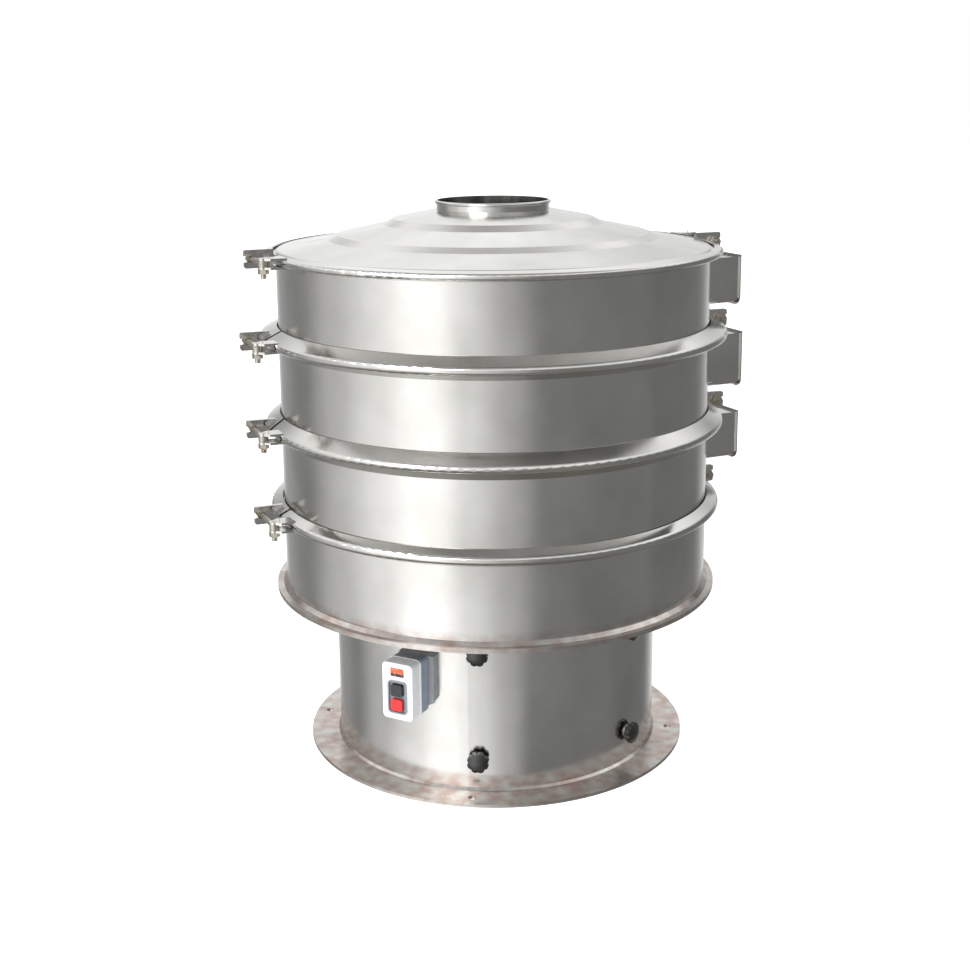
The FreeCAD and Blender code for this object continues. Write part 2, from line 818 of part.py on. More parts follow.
def make_clamp_ring(ring):
    """Two half rings of V section, each with lugs at one end and a fork at the other."""
    body = new_body(f"clamp_ring_{ring}", azimuth=f"ring_{ring}_azimuth")
    outer = clamp_profile(ring, "0")
    inner = clamp_profile(ring, "clamp_sheet")
    turned = revolve(body, [
        inner["lower_lip"],
        outer["lower_lip"],
        (*outer["lower_turn"], outer["arc"]),
        (*outer["nose"], outer["arc"]),
        outer["upper_turn"],
        outer["upper_lip"],
        inner["upper_lip"],
    ], "180 - ring_gap_angle")
    level = f"ring_{ring}_level"
    rod = pivot_radius(ring)
    root = f"(ring_{ring}_nose - lug_root)"
    parts = [turned]
    for bottom in (f"{level} + {LUG_INNER}", f"{level} - {LUG_INNER} - lug_thickness"):
        parts.append(pad(body, "XY_Plane", bottom, "lug_thickness", [
            (root, "pivot_side - lug_width / 2"),
            (f"{rod} - eye_radius", "pivot_side - lug_width / 2"),
            (rod, "pivot_side - eye_radius", "eye_radius"),
            (f"{rod} + eye_radius", "pivot_side", "eye_radius"),
            (rod, "pivot_side + eye_radius"),
            (f"{rod} - eye_radius", "pivot_side + lug_width / 2"),
            (root, "pivot_side + lug_width / 2"),
        ], holes=[(rod, "pivot_side", PIN_RADIUS)]))
    top = f"{level} + fork_half_height"
    bottom = f"{level} - fork_half_height"
    tip = f"({rod} + fork_reach)"
    parts.append(pad(body, "XZ_Plane", "fork_side", "fork_thickness", [
        (root, bottom),
        (f"{tip} - 4", bottom, "4"),
        (tip, f"{bottom} + 4"),
        (tip, f"{level} - {SLOT_HALF}"),
        (rod, f"{level} - {SLOT_HALF}", f"-{SLOT_HALF}"),
        (f"{rod} - {SLOT_HALF}", level, f"-{SLOT_HALF}"),
        (rod, f"{level} + {SLOT_HALF}"),
        (tip, f"{level} + {SLOT_HALF}"),
        (tip, f"{top} - 4", "4"),
        (f"{tip} - 4", top),
        (root, top),
    ]))
    polar(body, parts, 2)
    back = f"(ring_{ring}_lip - 30)"
    groove(body, [
        (back, inner["lower_lip"][1]),
        inner["lower_lip"],
        (*inner["lower_turn"], inner["arc"]),
        (*inner["nose"], inner["arc"]),
        inner["upper_turn"],
        inner["upper_lip"],
        (back, inner["upper_lip"][1]),
    ])


def make_pivot_bolts():
    """Upright bolts of all eight clamp joints, each with its head above and its nut below."""
    body = new_body("pivot_bolts")
    parts = []
    for ring in RINGS:
        seam = f"ring_{ring}_azimuth"
        rod = pivot_radius(ring)
        across = f"({rod} * cos({seam}) - pivot_side * sin({seam}))"
        up = f"({rod} * sin({seam}) + pivot_side * cos({seam}))"
        level = f"ring_{ring}_level"
        face = f"({LUG_INNER} + lug_thickness)"
        parts.append(pad(body, "XY_Plane", f"{level} + {face}", "nut_height - 1.5",
                         hexagon(across, up, "nut_flats_half - 0.5")))
        parts.append(pad(body, "XY_Plane", f"{level} - {face} - nut_height", "nut_height",
                         hexagon(across, up, "nut_flats_half")))
        parts.append(pad(body, "XY_Plane", f"{level} - {face} - nut_height - pin_tail",
                         f"2 * {face} + nut_height + pin_tail", [], holes=[(across, up, PIN_RADIUS)]))
    polar(body, parts, 2)


def make_swing_bolt(ring, side):
    """Eye bolt with its washer and nut, lying in the fork; side 0 is the left joint."""
    number = 2 * ring - 1 + side
    body = new_body(f"swing_bolt_{number}", azimuth=f"ring_{ring}_azimuth + {180 * side}")
    level = f"ring_{ring}_level"
    rod = pivot_radius(ring)
    fork_back = "(fork_side + fork_thickness)"
    nut_start = f"({fork_back} + nut_gap + washer_height)"
    pad(body, "XZ_Plane", "-pivot_side + eye_radius - 3",
        f"{nut_start} + nut_height + rod_end + pivot_side - eye_radius + 3", [],
        holes=[(rod, level, "bolt_radius")])
    pad(body, "XY_Plane", f"{level} - eye_height / 2", "eye_height", [],
        holes=[(rod, "pivot_side", "eye_radius")])
    pocket(body, "XY_Plane", f"{level} + eye_height", "2 * eye_height", [],
           holes=[(rod, "pivot_side", "bolt_radius")])
    pad(body, "XZ_Plane", nut_start, "nut_height", hexagon(rod, level, "nut_flats_half"))
    pad(body, "XZ_Plane", f"{nut_start} - washer_height", "washer_height", [],
        holes=[(rod, level, "nut_flats_half + 0.6")])


# ---------------------------------------------------------------- sieve body

def outlet_outline(number, inset):
    """Section of an outlet duct: square above, rounded below."""
    half = f"(outlet_width / 2 - {inset})"
    low = f"(outlet_{number}_bottom + {inset})"
    high = f"(outlet_{number}_bottom + outlet_{number}_height - {inset})"
    corner = f"(outlet_corner - {inset})"
    return [
        (f"-{half} + {corner}", low),
        (f"{half} - {corner}", low, corner),
        (half, f"{low} + {corner}"),
        (half, high),
        (f"-{half}", high),
        (f"-{half}", f"{low} + {corner}", corner),
    ]


def make_outlet(number, label):
    """Square duct that leads out of a tier, with a lip round its mouth."""
    body = new_body(label, azimuth=f"outlet_{number}_azimuth")
    pad(body, "YZ_Plane", "shell_radius - 30", "outlet_end - shell_radius + 30", outlet_outline(number, "0"))
    pad(body, "YZ_Plane", "outlet_end - outlet_wall", "outlet_wall", outlet_outline(number, "(-outlet_lip)"))
    pocket(body, "YZ_Plane", "outlet_end + 1", "outlet_end", outlet_outline(number, "outlet_wall"))
    groove(body, block(
        "0", "shell_radius",
        f"outlet_{number}_bottom - 20", f"outlet_{number}_bottom + outlet_{number}_height + 20",
    ))


def make_tier(number):
    """Cylindrical frame between two clamp rings, with a flat flange at each end."""
    upper, lower = number, number + 1
    body = new_body(f"frame_{number}", azimuth=f"outlet_{number}_azimuth")
    bottom = f"(ring_{lower}_level + joint_half)"
    top = f"(ring_{upper}_level - joint_half)"
    low_out = flange_radius(lower, "(joint_half + flange_thickness)")
    high_out = flange_radius(upper, "(joint_half + flange_thickness)")
    if number == 1:
        high_out = flange_radius(upper, "joint_half")
        top = f"(ring_{upper}_level - joint_half + flange_thickness)"
    revolve(body, [
        (SHELL_INNER, bottom),
        (low_out, bottom),
        (low_out, f"{bottom} + flange_thickness"),
        ("shell_radius", f"{bottom} + flange_thickness"),
        ("shell_radius", f"{top} - flange_thickness"),
        (high_out, f"{top} - flange_thickness"),
        (high_out, top),
        (SHELL_INNER, top),
    ])
    pocket(body, "YZ_Plane", "shell_radius + 1", "shell_radius", outlet_outline(number, "outlet_wall"))


def make_screens():
    """Screen rings, the meshes glued on them, and the U seals round their edges."""
    rings = new_body("screen_rings")
    meshes = new_body("screen_meshes")
    seals = new_body("frame_seals")
    half = "(screen_ring_thickness / 2)"
    for ring in RINGS[1:]:
        level = f"ring_{ring}_level"
        edge = f"({flange_radius(ring, '(joint_half + flange_thickness)')} - seal_cover)"
        revolve(rings, block("screen_ring_bore", edge, f"{level} - {half}", f"{level} + {half}"))
        revolve(meshes, block("0", "mesh_radius", f"{level} + {half}", f"{level} + {half} + mesh_thickness"))
        seal_edge = flange_radius(ring, "(joint_half + flange_thickness)")
        revolve(seals, [
            (SHELL_INNER, f"{level} - joint_half"),
            (seal_edge, f"{level} - joint_half"),
            (seal_edge, f"{level} + joint_half"),
            (SHELL_INNER, f"{level} + joint_half"),
            (SHELL_INNER, f"{level} + {half}"),
            (edge, f"{level} + {half}"),
            (edge, f"{level} - {half}"),
            (SHELL_INNER, f"{level} - {half}"),
        ])
    lid_joint = flange_radius("1", "joint_half")
    revolve(seals, block(
        SHELL_INNER, lid_joint,
        "ring_1_level - joint_half + flange_thickness", "ring_1_level + joint_half - flange_thickness",
    ))


def make_chassis():
    """Plate with its welded shell, the domed floor and the fines outlet."""
    plate = new_body("chassis_plate")
    revolve(plate, block("motor_radius + 2", "plate_radius", "plate_bottom", PLATE_TOP))
    bolt_hole = pocket(plate, "XY_Plane", f"{PLATE_TOP} + 1", "plate_thickness + 2", [], holes=[
        ("motor_bolt_circle", "0", "motor_bolt_radius + motor_bolt_clearance"),
    ])
    polar(plate, [bolt_hole], MOTOR_BOLT_COUNT)
    shell = new_body("chassis_shell", azimuth="outlet_4_azimuth")
    top = "(ring_4_level - joint_half)"
    edge = flange_radius("4", "(joint_half + flange_thickness)")
    revolve(shell, [
        (SHELL_INNER, PLATE_TOP),
        ("shell_radius + plate_weld", PLATE_TOP),
        ("shell_radius", f"{PLATE_TOP} + plate_weld"),
        ("shell_radius", f"{top} - flange_thickness"),
        (edge, f"{top} - flange_thickness"),
        (edge, top),
        (SHELL_INNER, top),
    ])
    pocket(shell, "YZ_Plane", "shell_radius + 1", "shell_radius", outlet_outline("4", "outlet_wall"))
    floor = new_body("chassis_floor")
    dome = f"(({SHELL_INNER}^2 + floor_rise^2) / (2 * floor_rise))"
    revolve(floor, [
        ("0", "floor_edge + floor_rise - shell_wall"),
        ("0", "floor_edge + floor_rise", f"-{dome}"),
        (SHELL_INNER, "floor_edge"),
        (SHELL_INNER, "floor_edge - shell_wall", dome),
    ])


# ---------------------------------------------------------------- lid

def lid_line():
    """Outer line of the lid from its edge up to the feed inlet."""
    steps = [(f"lid_step_{step}_radius", f"lid_step_{step}_level") for step in (1, 2, 3, 4)]
    return [("lid_edge_radius", "lid_edge_level"), *steps, ("inlet_radius", "lid_top_level")]


def make_lid():
    """Lid spun in shallow cones with two steps, and the flange under the top clamp ring."""
    body = new_body("lid")
    outside = lid_line()
    inside = [(radius, f"{level} - lid_wall") for radius, level in outside]
    flange_top = "(ring_1_level + joint_half)"
    flange_edge = flange_radius("1", "joint_half")
    revolve(body, [
        (SHELL_INNER, f"{flange_top} - flange_thickness"),
        (flange_edge, f"{flange_top} - flange_thickness"),
        (flange_edge, flange_top),
        ("shell_radius", flange_top),
        ("shell_radius", "lid_edge_level - lid_wall"),
        *outside,
        *reversed(inside[1:]),
        (SHELL_INNER, "lid_edge_level - lid_wall - 1"),
    ])


def make_inlet_collar():
    """Feed inlet welded on the lid: a short tube with a rolled rim."""
    body = new_body("inlet_collar")
    bore = "(inlet_radius - lid_wall)"
    revolve(body, [
        (bore, "inlet_bottom"),
        ("inlet_radius", "inlet_bottom"),
        ("inlet_radius", "inlet_top - inlet_bead", "inlet_bead"),
        ("inlet_radius + inlet_bead", "inlet_top", "inlet_bead"),
        ("inlet_radius", "inlet_top + inlet_bead"),
        (bore, "inlet_top + inlet_bead"),
    ])


# ---------------------------------------------------------------- motor

def make_motor():
    """Vertical vibration motor hung in the plate: housing, end covers, stator, bearings, bolts."""
    housing = new_body("motor_housing")
    revolve(housing, [
        ("motor_bore", "motor_bottom"),
        ("motor_radius", "motor_bottom"),
        ("motor_radius", MOTOR_FLANGE_BOTTOM),
        ("motor_flange_radius", MOTOR_FLANGE_BOTTOM),
        ("motor_flange_radius", "plate_bottom"),
        ("motor_radius", "plate_bottom"),
        ("motor_radius", "motor_top"),
        ("motor_bore", "motor_top"),
    ])
    bolt_hole = pocket(housing, "XY_Plane", "plate_bottom + 1", "motor_flange_thickness + 2", [], holes=[
        ("motor_bolt_circle", "0", "motor_bolt_radius + motor_bolt_clearance"),
    ])
    polar(housing, [bolt_hole], MOTOR_BOLT_COUNT)
    covers = new_body("motor_covers")
    bearings = new_body("motor_bearings")
    for low in ("(motor_bottom - motor_cover_thickness)", "motor_top"):
        revolve(covers, block("bearing_radius", "motor_radius", low, f"{low} + motor_cover_thickness"))
        revolve(bearings, block("shaft_radius + shaft_clearance", "bearing_radius",
                                low, f"{low} + bearing_height"))
    stator = new_body("motor_stator")
    revolve(stator, block("stator_bore", "motor_bore", "stator_bottom", "stator_bottom + stator_height"))
    bolts = new_body("motor_bolts")
    hex_bolt = [
        pad(bolts, "XY_Plane", f"{MOTOR_FLANGE_BOTTOM} - motor_bolt_head", "motor_bolt_head",
            hexagon("motor_bolt_circle", "0", "motor_bolt_flats_half")),
        pad(bolts, "XY_Plane", MOTOR_FLANGE_BOTTOM,
            "motor_flange_thickness + plate_thickness + motor_bolt_head + 3", [],
            holes=[("motor_bolt_circle", "0", "motor_bolt_radius")]),
        pad(bolts, "XY_Plane", PLATE_TOP, "motor_bolt_head",
            hexagon("motor_bolt_circle", "0", "motor_bolt_flats_half")),
    ]
    polar(bolts, hex_bolt, MOTOR_BOLT_COUNT)


def make_rotor():
    """Shaft with the rotor core, and the half-disc weight at each end."""
    shaft = new_body("rotor_shaft")
    revolve(shaft, [
        ("0", "shaft_bottom"),
        ("shaft_radius", "shaft_bottom"),
        ("shaft_radius", "stator_bottom"),
        ("core_radius", "stator_bottom"),
        ("core_radius", "stator_bottom + stator_height"),
        ("shaft_radius", "stator_bottom + stator_height"),
        ("shaft_radius", "shaft_top"),
        ("0", "shaft_top"),
    ])
    for label, bore, low, tall in (
        ("upper_weight", "shaft_radius", "upper_weight_bottom", "upper_weight_height"),
        ("lower_weight", "(shaft_radius + shaft_clearance)", "lower_weight_bottom", "lower_weight_height"),
    ):
        body = new_body(label)
        revolve(body, block(bore, "weight_hub", low, f"{low} + {tall}"))
        revolve(body, block(bore, "weight_radius", low, f"{low} + {tall}"), "180")


# ---------------------------------------------------------------- build

def build():
    """Make every sub-part."""
    fill_sheet()
    make_floor_flange()
    make_base_cylinder()
    make_base_deck()
    make_spring_cups()
    make_springs()
    make_door()
    make_door_studs()
    for number, (azimuth, height) in enumerate(knob_places(), start=1):
        make_star_knob(number, azimuth, height)
    make_switch_bracket()
    make_switch_box()
    make_switch_bezel()
    off_low, on_low = button_bottoms()
    make_button("off_button", off_low)
    make_button("on_button", on_low)
    make_switch_label()
    make_knockout()
    make_chassis()
    make_outlet("4", "chassis_outlet")
    for tier in TIERS:
        make_tier(tier)
        make_outlet(tier, f"outlet_{tier}")
    make_screens()
    make_lid()
    make_inlet_collar()
    for ring in RINGS:
        make_clamp_ring(ring)
        for side in (0, 1):
            make_swing_bolt(ring, side)
    make_pivot_bolts()
    make_motor()
    make_rotor()
    document.recompute()


def check():
    """Stop if any object failed or any sub-part has no valid solid."""
    for item in document.Objects:
        if "Invalid" in item.State or "Error" in item.State:
            raise RuntimeError(f"{item.Label} in {item.getParentGeoFeatureGroup()} failed: {item.State}")
    for body in document.findObjects("PartDesign::Body"):
        shape = body.Shape
        if shape.isNull() or not shape.Solids or not shape.isValid():
            raise RuntimeError(f"{body.Label} has no valid solid")


def export():
    """Write each sub-part to its own STEP file."""
    os.makedirs("parts", exist_ok=True)
    for body in document.findObjects("PartDesign::Body"):
        body.Shape.exportStep(f"parts/{body.Label}.step")


build()
check()
export()
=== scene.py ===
"""Looks of a round vibrating sieve, laid out as a Blender add-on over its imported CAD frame."""
import json
import math

import bpy
from mathutils import Matrix, Vector


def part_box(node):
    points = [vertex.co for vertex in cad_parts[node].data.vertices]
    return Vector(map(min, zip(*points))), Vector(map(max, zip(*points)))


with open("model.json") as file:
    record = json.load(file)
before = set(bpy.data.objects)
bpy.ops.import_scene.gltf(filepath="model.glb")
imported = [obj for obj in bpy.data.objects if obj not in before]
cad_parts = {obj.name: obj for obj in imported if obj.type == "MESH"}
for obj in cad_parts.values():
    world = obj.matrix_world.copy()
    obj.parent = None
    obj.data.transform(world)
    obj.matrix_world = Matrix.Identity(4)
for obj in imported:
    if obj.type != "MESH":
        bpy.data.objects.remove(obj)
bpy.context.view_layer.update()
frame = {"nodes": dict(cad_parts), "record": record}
NODES = frame["nodes"]

bl_info = {
    "name": "Vibrating sieve",
    "version": (1, 0, 0),
    "blender": (4, 5, 0),
    "location": "View3D > Sidebar > Sieve",
    "description": "Builds the looks of a round vibrating sieve piece by piece",
    "category": "Object",
}

MM = 0.001
SHELL_RADIUS = 0.4
FLOOR_HALF = 30.0
BELOW_LIGHT = (0.23, 0.22, 0.19, 1.0)
COLOUR_MIX = {"data_type": "RGBA", "clamp_factor": True, "out": 2}

# brightness of the studio walls by share of a turn, counted from +X towards +Y
WALLS = (
    (0.00, 0.21), (0.12, 0.22), (0.21, 0.85), (0.27, 1.10), (0.33, 0.42), (0.42, 0.30), (0.50, 0.75),
    (0.58, 1.30), (0.635, 1.85), (0.665, 1.85), (0.71, 1.15), (0.775, 0.60), (0.82, 0.28), (0.92, 0.24),
)
# brightness of the ceiling by steepness, from level at 0 to straight up at 1
CEILING = ((0.5, 1.5), (0.72, 1.2), (0.9, 0.5))


# ------------------------------------------------------------------ settings

class SieveSizes(bpy.types.PropertyGroup):
    """Sizes of the patterns and places of the welds, in millimetres."""
    smudge: bpy.props.FloatProperty(
        name="Smudges", description="Width of the smudges on sheet, in millimetres", default=130)
    wave: bpy.props.FloatProperty(
        name="Waves", description="Length of the waves in rolled sheet, in millimetres", default=160)
    wipe: bpy.props.FloatProperty(
        name="Wiped patches", description="Width of duller and brighter patches, in millimetres", default=90)
    grain: bpy.props.FloatProperty(
        name="Grain", description="Spacing of the rolling grain, in millimetres", default=1.2)
    speck: bpy.props.FloatProperty(
        name="Specks", description="Width of grease specks, in millimetres", default=2.5)
    speck_patch: bpy.props.FloatProperty(
        name="Specked patches", description="Width of the patches with specks, in millimetres", default=60)
    tint_cloud: bpy.props.FloatProperty(
        name="Tint clouds", description="Width of the clouds of heat tint, in millimetres", default=28)
    wire_pitch: bpy.props.FloatProperty(
        name="Wire pitch", description="Spacing of the cloth's wires, in millimetres", default=1.0)
    shell_weld: bpy.props.FloatProperty(
        name="Shell weld", description="Height of the weld under the shell, in millimetres", default=318)
    shell_foot: bpy.props.FloatProperty(
        name="Shell foot", description="Height of the weld at the base's foot, in millimetres", default=8)
    plate_weld: bpy.props.FloatProperty(
        name="Plate weld", description="Height of the tint on the chassis plate, in millimetres", default=312)
    flange_weld: bpy.props.FloatProperty(
        name="Flange weld", description="Height of the tint on the floor flange, in millimetres", default=6)
    crisp_angle: bpy.props.FloatProperty(
        name="Crisp edges", description="Edges that turn by more than this stay crisp",
        default=math.radians(28), subtype="ANGLE")


class SieveColours(bpy.types.PropertyGroup):
    """Colours as sRGB hex codes."""
    steel: bpy.props.StringProperty(
        name="Steel", description="Clean stainless sheet", default="#CFCECB")
    steel_dark: bpy.props.StringProperty(
        name="Smudged steel", description="Stainless sheet under smudges", default="#A9A8A2")
    tint: bpy.props.StringProperty(
        name="Heat tint", description="Steel beside welds", default="#A98F86")
    rust: bpy.props.StringProperty(
        name="Rust", description="Rust spots on the bolts", default="#6B3F2A")
    olive: bpy.props.StringProperty(
        name="Grease", description="Grease specks, and dust on plastics", default="#6E6C5C")
    zinc: bpy.props.StringProperty(
        name="Zinc", description="Zinc plating of the bolts", default="#B9B4A8")
    knob: bpy.props.StringProperty(
        name="Knobs", description="Phenolic of the star knobs", default="#101113")
    cover: bpy.props.StringProperty(
        name="Switch cover", description="White front of the switch box", default="#E6E9EC")
    housing: bpy.props.StringProperty(
        name="Switch housing", description="Blue-grey back of the switch box", default="#8E9AA9")
    bezel: bpy.props.StringProperty(
        name="Switch bezel", description="Frame round the buttons", default="#8C949C")
    label: bpy.props.StringProperty(
        name="Label", description="Orange field of the bare label", default="#D9571C")
    label_dark: bpy.props.StringProperty(
        name="Label strip", description="Dark strip below the orange field", default="#3A2420")
    red: bpy.props.StringProperty(
        name="OFF button", description="Red of the OFF button", default="#D8121A")
    black: bpy.props.StringProperty(
        name="ON button", description="Black of the ON button", default="#1B1D20")
    silicone: bpy.props.StringProperty(
        name="Seals", description="Silicone of the frame seals", default="#DAD7CC")
    rubber: bpy.props.StringProperty(
        name="Rubber", description="Black rubber of the gaskets", default="#17181A")
    paint: bpy.props.StringProperty(
        name="Grey paint", description="Painted steel parts", default="#9BA0A4")
    motor: bpy.props.StringProperty(
        name="Motor", description="Enamel of the motor", default="#38516B")


class SieveStage(bpy.types.PropertyGroup):
    """The lamp and the camera."""
    lamp_power: bpy.props.FloatProperty(
        name="Lamp power", description="Power of the soft lamp", default=45, unit="POWER")
    lamp_width: bpy.props.FloatProperty(
        name="Lamp width", description="Width of the soft lamp", default=1.8, unit="LENGTH")
    lamp_depth: bpy.props.FloatProperty(
        name="Lamp depth", description="Depth of the soft lamp", default=1.4, unit="LENGTH")
    lamp_place: bpy.props.FloatVectorProperty(
        name="Lamp place", description="Place of the lamp", default=(-1.6, -2.6, 2.6), unit="LENGTH")
    lamp_aim: bpy.props.FloatVectorProperty(
        name="Lamp aim", description="Point that the lamp faces", default=(0, 0, 0.5), unit="LENGTH")
    camera_place: bpy.props.FloatVectorProperty(
        name="Camera place", description="Place of the camera", default=(-0.01716, -2.70347, 1.22439),
        precision=5, unit="LENGTH")
    camera_tilt: bpy.props.FloatProperty(
        name="Camera tilt", description="Angle of the camera below level", default=math.radians(11.968),
        subtype="ANGLE")
    camera_roll: bpy.props.FloatProperty(
        name="Camera roll", description="Turn about the line of sight", default=math.radians(-0.448),
        subtype="ANGLE")
    lens: bpy.props.FloatProperty(
        name="Lens", description="Focal length in millimetres on a 36 mm sensor", default=54.11)
    lens_shift: bpy.props.FloatProperty(
        name="Lens shift", description="Upright shift as a share of the frame", default=-0.0876)


# ------------------------------------------------------------------ materials

def linear(hex_code):
    """sRGB hex code to linear RGBA: c/12.92 below 0.04045, else ((c + 0.055)/1.055)^2.4."""
    channels = [int(hex_code[i:i + 2], 16) / 255 for i in (1, 3, 5)]
    return tuple(c / 12.92 if c <= 0.04045 else ((c + 0.055) / 1.055) ** 2.4 for c in channels) + (1.0,)


def grey(level):
    """A grey as linear RGBA."""
    return (level, level, level, 1.0)


def add_node(tree, kind, inputs=(), out=0, stops=(), blend="LINEAR", **properties):
    """Add a node with its settings, ramp stops and inputs; return one output, or the node for None."""
    node = tree.nodes.new(kind)
    for key, setting in properties.items():
        setattr(node, key, setting)
    for key, source in dict(inputs).items():
        if isinstance(source, bpy.types.NodeSocket):
            tree.links.new(source, node.inputs[key])
        else:
            node.inputs[key].default_value = source
    if stops:
        node.color_ramp.interpolation = blend
    for index, (place, colour) in enumerate(stops):
        elements = node.color_ramp.elements
        element = elements[index] if index < 2 else elements.new(place)
        element.position = place
        element.color = colour
    return node if out is None else node.outputs[out]


def fade(low, high):
    """Ramp stops from black at one value to white at another."""
    return [(low, grey(0)), (high, grey(1))]


def specks(tree, size_mm, detail=3.0):
    """Lumps of a size in millimetres: noise over object coordinates."""
    place = add_node(tree, "ShaderNodeTexCoord", out="Object")
    return add_node(
        tree, "ShaderNodeTexNoise",
        {"Vector": place, "Scale": 1000 / size_mm, "Detail": detail, "Roughness": 0.55}, out="Fac",
    )


def rolled_pattern(tree, size_mm, along, up, detail=2.0):
    """Noise wrapped round Z: (angle * along * shell radius, radius, height * up)."""
    place = add_node(tree, "ShaderNodeTexCoord", out="Object")
    parts = add_node(tree, "ShaderNodeSeparateXYZ", {0: place}, out=None)
    angle = add_node(
        tree, "ShaderNodeMath", {0: parts.outputs["Y"], 1: parts.outputs["X"]}, operation="ARCTAN2")
    round_way = add_node(tree, "ShaderNodeMath", {0: angle, 1: along * SHELL_RADIUS}, operation="MULTIPLY")
    level = add_node(tree, "ShaderNodeMath", {0: parts.outputs["Z"], 1: up}, operation="MULTIPLY")
    flat = add_node(tree, "ShaderNodeVectorMath", {0: place, 1: (1, 1, 0)}, operation="MULTIPLY")
    radius = add_node(tree, "ShaderNodeVectorMath", {0: flat}, out="Value", operation="LENGTH")
    joined = add_node(tree, "ShaderNodeCombineXYZ", {0: round_way, 1: radius, 2: level})
    return add_node(
        tree, "ShaderNodeTexNoise", {"Vector": joined, "Scale": 1000 / size_mm, "Detail": detail}, out="Fac")


def weld_zone(tree, level_mm, reach_mm):
    """1 at a height, falling evenly to 0 at a reach above or below it."""
    place = add_node(tree, "ShaderNodeTexCoord", out="Object")
    level = add_node(tree, "ShaderNodeSeparateXYZ", {0: place}, out="Z")
    above = add_node(tree, "ShaderNodeMath", {0: level, 1: level_mm * MM}, operation="SUBTRACT")
    off = add_node(tree, "ShaderNodeMath", {0: above}, operation="ABSOLUTE")
    share = add_node(tree, "ShaderNodeMath", {0: off, 1: reach_mm * MM}, operation="DIVIDE")
    left = add_node(tree, "ShaderNodeMath", {0: 1.0, 1: share}, operation="SUBTRACT")
    return add_node(tree, "ShaderNodeMath", {0: left, 1: 0.0}, operation="MAXIMUM")


def new_material(name, **shader):
    """A material with one Principled shader whose fixed numbers are set on its own sockets."""
    material = bpy.data.materials.new(name)
    material.use_nodes = True
    tree = material.node_tree
    principled = next(node for node in tree.nodes if node.type == "BSDF_PRINCIPLED")
    for socket, number in shader.items():
        principled.inputs[socket.replace("_", " ")].default_value = number
    return material, tree, principled


def set_relief(tree, principled, height, depth_mm):
    """Relief from a height of 0 to 1 that stands for a depth in millimetres."""
    relief = add_node(
        tree, "ShaderNodeBump", {"Height": height, "Distance": depth_mm * MM, "Strength": 1.0})
    tree.links.new(relief, principled.inputs["Normal"])


def steel_material(name, roughness, smudge=0.5, welds=(), grain_depth=0.004, wave_depth=0.25):
    """Rolled stainless sheet: grain round the shell, broad waves, smudges, and tint beside welds."""
    sizes = bpy.context.scene.sieve_sizes
    colours = bpy.context.scene.sieve_colours
    steel = linear(colours.steel)
    material, tree, principled = new_material(name, Metallic=1.0)
    smudges = add_node(
        tree, "ShaderNodeValToRGB", {"Fac": rolled_pattern(tree, sizes.smudge, 1.0, 1.0, 5)},
        stops=[(0.35, steel), (0.75, linear(colours.steel_dark))],
    )
    colour = add_node(tree, "ShaderNodeMix", {0: smudge, 6: steel, 7: smudges}, **COLOUR_MIX)
    marks = add_node(
        tree, "ShaderNodeValToRGB", {"Fac": specks(tree, sizes.speck, 2)}, stops=fade(0.70, 0.76))
    patches = add_node(
        tree, "ShaderNodeValToRGB", {"Fac": specks(tree, sizes.speck_patch)}, stops=fade(0.5, 0.7))
    marked = add_node(tree, "ShaderNodeMath", {0: marks, 1: patches}, operation="MULTIPLY")
    faint = add_node(tree, "ShaderNodeMath", {0: marked, 1: 0.35}, operation="MULTIPLY")
    colour = add_node(tree, "ShaderNodeMix", {0: faint, 6: colour, 7: linear(colours.olive)}, **COLOUR_MIX)
    for level, reach in welds:
        cloud = add_node(
            tree, "ShaderNodeValToRGB", {"Fac": rolled_pattern(tree, sizes.tint_cloud, 1.0, 1.0, 4)},
            stops=fade(0.35, 0.65),
        )
        zone = add_node(
            tree, "ShaderNodeMath", {0: weld_zone(tree, level, reach), 1: cloud}, operation="MULTIPLY")
        tinted = add_node(tree, "ShaderNodeMath", {0: zone, 1: 0.8}, operation="MULTIPLY")
        colour = add_node(
            tree, "ShaderNodeMix", {0: tinted, 6: colour, 7: linear(colours.tint)}, **COLOUR_MIX)
    tree.links.new(colour, principled.inputs["Base Color"])
    dullness = add_node(tree, "ShaderNodeMapRange", {
        "Value": rolled_pattern(tree, sizes.wipe, 1.0, 0.6, 4), "From Min": 0.3, "From Max": 0.75,
        "To Min": roughness - 0.05, "To Max": roughness + 0.09,
    })
    tree.links.new(dullness, principled.inputs["Roughness"])
    grain = add_node(
        tree, "ShaderNodeMath",
        {0: rolled_pattern(tree, sizes.grain, 0.03, 1.0), 1: grain_depth / wave_depth}, operation="MULTIPLY",
    )
    waves = rolled_pattern(tree, sizes.wave, 1.0, 0.7)
    height = add_node(tree, "ShaderNodeMath", {0: grain, 1: waves}, operation="ADD")
    set_relief(tree, principled, height, wave_depth)
    return material


def zinc_material():
    """Zinc-plated bolts and joints with rust in patches about 9 mm wide."""
    colours = bpy.context.scene.sieve_colours
    material, tree, principled = new_material("zinc_plated_steel", Metallic=1.0)
    spots = add_node(tree, "ShaderNodeValToRGB", {"Fac": specks(tree, 9, 5)}, stops=fade(0.56, 0.68))
    rusty = add_node(tree, "ShaderNodeMath", {0: spots, 1: 0.75}, operation="MULTIPLY")
    colour = add_node(
        tree, "ShaderNodeMix", {0: rusty, 6: linear(colours.zinc), 7: linear(colours.rust)}, **COLOUR_MIX)
    tree.links.new(colour, principled.inputs["Base Color"])
    dullness = add_node(
        tree, "ShaderNodeValToRGB", {"Fac": specks(tree, 5)}, stops=[(0.3, grey(0.25)), (0.8, grey(0.6))])
    tree.links.new(dullness, principled.inputs["Roughness"])
    set_relief(tree, principled, specks(tree, 1.5), 0.05)
    return material


